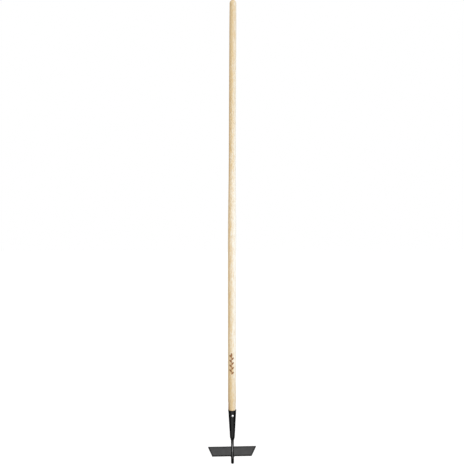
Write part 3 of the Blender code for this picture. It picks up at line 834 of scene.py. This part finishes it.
bar_points = np.stack([
    sideways,
    ends_doubled(bar_y) - lifted * np.sin(tilt),
    ends_doubled(bar_height) + lifted * np.cos(tilt),
], axis=-1)
# Near the palm's rim the lacquer is painted darker, which is painted shade, and rubbed, which is wear.
palm_rim_shade_and_wear = ends_doubled(flat) * near(np.abs(across) / ends_doubled(half_width) - 1, palm_rim)
neck_marks = {"edge": palm_shade * palm_rim_shade_and_wear, "rubbed": palm_rub * palm_rim_shade_and_wear}
neck = skin("bent_neck", leaning(bar_points), marks=neck_marks)
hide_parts("swan_neck")
# Painted light: the neck's lacquer is the same black painted a little lighter than the socket's.
neck_look = black_lacquer("neck_lacquer", "121213", "0b0b0c", dullness=0.24, shine=0.55, ripple=0.00007)
neck.data.materials.append(neck_look)

# Socket weld
# A small bead of weld laid round the neck where the socket's nose ends, rippled where each drop froze,
# and lacquered with the rest.
ring_bead_height, ring_bead_run = 0.0011, 0.0018
ring_fullness, ring_ripples, points_per_drop = 1.1, 34, 12
off_neck, off_nose = 0.3 * fit_gap, 0.2 * fit_gap
bead_throat_share, bead_face_power = 0.78, 1.5
drop_dip, drop_crest = 0.14, 0.4
ring_drop_trail = 0.35
bead_black, bead_edge_black = "1c1c1d", "0c0c0d"
bead_dullness, bead_shine = 0.36, 0.28


def bead_section(points):
    """A fillet's cross-section of unit legs, as two rows: its corner, then its slightly full face.

    The face lies 1 from the corner at both legs and bead_throat_share from it halfway between them.
    """
    turn = np.linspace(0.0, np.pi / 2, points)
    fullness = bead_throat_share + (1 - bead_throat_share) * np.abs(np.cos(2 * turn)) ** bead_face_power
    out = np.concatenate([[0.0], fullness * np.cos(turn)])
    down = np.concatenate([[0.0], fullness * np.sin(turn)])
    return out[None, :], down[None, :]


def ripples(phase):
    """The height of a bead's frozen drops, one to each whole number of phase.

    A drop is an arc of an ellipse. It is 1 high at its crest, drop_crest of the way along, and lower by
    drop_dip at its end.
    """
    from_crest = (np.mod(phase, 1.0) - drop_crest) / (1 - drop_crest)
    return 1 - drop_dip + drop_dip * np.sqrt(np.clip(1 - from_crest**2, 0.0, 1.0))


# The bead follows the nose's edge round the neck, with smaller gaps than the solid's.
ring_angle = np.linspace(0.0, 2 * np.pi, ring_ripples * points_per_drop, endpoint=False)[:, None]
ring_out, ring_down = bead_section(11)
ring_slope = np.hypot(1.0, notch_depth * np.sin(2 * ring_angle) / nose_radius)
drop = ripples(ring_angle / 2 / np.pi * ring_ripples + ring_drop_trail * ring_down)
ring_radius = neck_radius + off_neck + ring_bead_height * ring_fullness * ring_out * drop
ring_level = nose_end(ring_angle) - off_nose * ring_slope - ring_bead_run * ring_down * drop
ring_x, ring_y = ring_radius * np.sin(ring_angle), -ring_radius * np.cos(ring_angle)
ring_points = np.stack([ring_x, ring_y, ring_level], axis=-1)
ring_bead = skin("socket_weld_bead", leaning(ring_points), rows_meet=True, crease=60.0)
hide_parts("socket_weld")
ring_look = black_lacquer("weld_lacquer", bead_black, bead_edge_black, bead_dullness, bead_shine)
ring_bead.data.materials.append(ring_look)

# Blade
# A trapezoid of 3 mm steel plate, widest at the cutting edge, which is ground from below. The plate
# is sheared, so its edges are only slightly rounded. It is lacquered black all over, duller along its
# edges, and welded on a little to the left of the neck's middle.
blade_depth, blade_cutting_width, blade_neck_width = 0.0734, 0.1735, 0.1375
blade_thickness, edge_thickness, grind_run = 0.0030, 0.0008, 0.012
edge_round = 0.00035
blade_base = palm_thickness / 2 + fit_gap
blade_aside = -0.0017
wing_band, near_band, far_band = 0.0065, 0.0085, 0.0150
corner_inset, corner_reach = 0.0002, 0.0003
blade_rub, blade_rub_reach = 0.5, 0.0006
blade_columns = 121

blade_place = (
    Matrix.Translation((0.0, edge_y, edge_height))
    @ Matrix.Rotation(blade_tilt, 4, "X")
    @ Matrix.Rotation(-blade_roll, 4, "Y")
)


def there_and_back(out, back):
    """A row of values round the plate's section: one run on the way out and another on the way back."""
    return np.concatenate([out, back[::-1]])[None, :]


def from_end_to_end(end, middle, far_end):
    """A column of values along the blade: round one end, along the middle and round the other end."""
    return np.concatenate([end, middle, far_end])[:, None]


# Columns run out along the plate's upper face to the cutting edge and back along the underside, which
# the grind cuts in a straight slope. Rows run from end to end, and round off and close at both.
quarter = np.linspace(0.0, np.pi / 2, 5)
deep = np.concatenate([
    edge_round * (1 - np.sin(quarter)),
    np.linspace(edge_round, blade_depth - grind_run, 46)[1:-1],
    np.linspace(blade_depth - grind_run, blade_depth - edge_round, 13),
    blade_depth - edge_round * (1 - np.sin(quarter))[::-1][1:],
])
near_round = np.clip((edge_round - deep) / edge_round, 0.0, 1.0)
far_round = np.clip((deep - blade_depth + edge_round) / edge_round, 0.0, 1.0)
dropped = edge_round * (1 - np.sqrt(1 - np.maximum(near_round, far_round) ** 2))
ground_share = np.clip((deep - blade_depth + grind_run) / grind_run, 0.0, 1.0)
upper = blade_thickness - dropped
lower = (blade_thickness - edge_thickness) * ground_share + dropped
loop_deep = there_and_back(deep, deep)
loop_level = there_and_back(upper, lower)
loop_middle = there_and_back(upper + lower, upper + lower) / 2
end_turn = np.linspace(0.0, np.pi / 2, 6)[:-1]
level_run = np.linspace(-1.0, 1.0, blade_columns)
end_tuck, end_out = 1 - np.sin(end_turn), np.cos(end_turn)
wing = from_end_to_end(0 * end_turn - 1, level_run, 0 * end_turn + 1)
tuck = from_end_to_end(end_tuck, 0 * level_run, end_tuck[::-1])
outermost = from_end_to_end(end_out, 0 * level_run, end_out[::-1])
half_span = (blade_neck_width + (blade_cutting_width - blade_neck_width) * loop_deep / blade_depth) / 2
half_span = half_span - there_and_back(dropped, dropped)
span = wing * (half_span - edge_round) + np.sign(wing) * edge_round * outermost
thinner = np.clip(1 - 2 * edge_round * tuck / blade_thickness, 0.0, 1.0)
plate_level = loop_middle + (loop_level - loop_middle) * thinner
closing = [np.stack([span[row], loop_deep[0], loop_middle[0]], axis=-1)[None] for row in (0, -1)]
plate = np.stack([span, loop_deep + 0 * span, plate_level], axis=-1)
plate = np.concatenate([closing[0], plate, closing[1]])
from_wing = half_span[0] - np.abs(plate[..., 0])
from_near = plate[..., 1]
from_far = blade_depth - plate[..., 1]
from_rim = np.minimum(from_wing, np.minimum(from_near, from_far))
bands = [near(from_wing, wing_band), near(from_near, near_band), near(from_far, far_band)]
from_middle = np.abs(plate[..., 2] - blade_thickness / 2)
on_corner = near(from_middle - blade_thickness / 2 + corner_inset, corner_reach)
blade_marks = {
    "edge": np.maximum.reduce(bands),
    "rubbed": blade_rub * near(from_rim, blade_rub_reach) * on_corner,
}
blade_points = placed(plate + (blade_aside, 0.0, blade_base), blade_place)
blade = skin("trapezoid_blade", leaning(blade_points), marks=blade_marks, crease=30.0)
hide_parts("blade")
# Painted light: the blade's lacquer is the same black painted a little lighter than the socket's.
blade_look = black_lacquer(
    "blade_lacquer", "151516", "09090a", dullness=0.34, shine=0.33, ripple=0.00006, duller=0.45
)
blade.data.materials.append(blade_look)

# Blade welds
# Three fillet beads hold the palm under the blade: one across the palm at the blade's near edge, and
# one along each side of the palm. They are rippled where each drop froze, and lacquered.
bead_leg, bead_end_share = 0.0026, 0.4
front_bead_length, side_bead_length = 0.0108, 0.0170
drop_pitch, fillet_drop_trail = 0.0016, 0.5
bead_rows = 121
palm_top = palm_thickness / 2
bead_out, bead_down = bead_section(13)


def fillet_bead(name, node, length, corner):
    """A bead along X in the corner of +Y and -Z of a frame, with rippled legs that shrink at its ends.

    The legs follow half an ellipse along the bead, down to bead_end_share of their length.
    """
    share = np.linspace(-1.0, 1.0, bead_rows)[:, None]
    leg = bead_leg * (bead_end_share + (1 - bead_end_share) * np.sqrt(1 - share**2))
    leg = leg * ripples(share * length / 2 / drop_pitch + fillet_drop_trail * bead_down * bead_out)
    bead = np.stack([share * length / 2 + 0 * leg, leg * bead_out, -leg * bead_down], axis=-1)
    caps = [bead[row].mean(axis=0) + 0 * bead[row][None] for row in (0, -1)]
    bead = np.concatenate([caps[0], bead, caps[1]])
    piece = skin(name, leaning(placed(placed(bead, corner), blade_place)), crease=60.0)
    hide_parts(node)
    look = black_lacquer(name + "_lacquer", bead_black, bead_edge_black, bead_dullness, bead_shine)
    piece.data.materials.append(look)


front_corner = Matrix.Translation((0.0, -fit_gap, palm_top + fit_gap)) @ Matrix.Rotation(math.pi, 4, "X")
fillet_bead("weld_bead_front", "blade_weld_front", front_bead_length, front_corner)
palm_middle = palm_length - palm_width / 2 - side_bead_length / 2
for side, name in ((-1, "left"), (1, "right")):
    corner = Matrix.Translation((side * (palm_width / 2 + fit_gap), palm_middle, palm_top))
    along_palm = Matrix.Rotation(-side * math.pi / 2, 4, "Z")
    fillet_bead("weld_bead_" + name, "blade_weld_" + name, side_bead_length, corner @ along_palm)
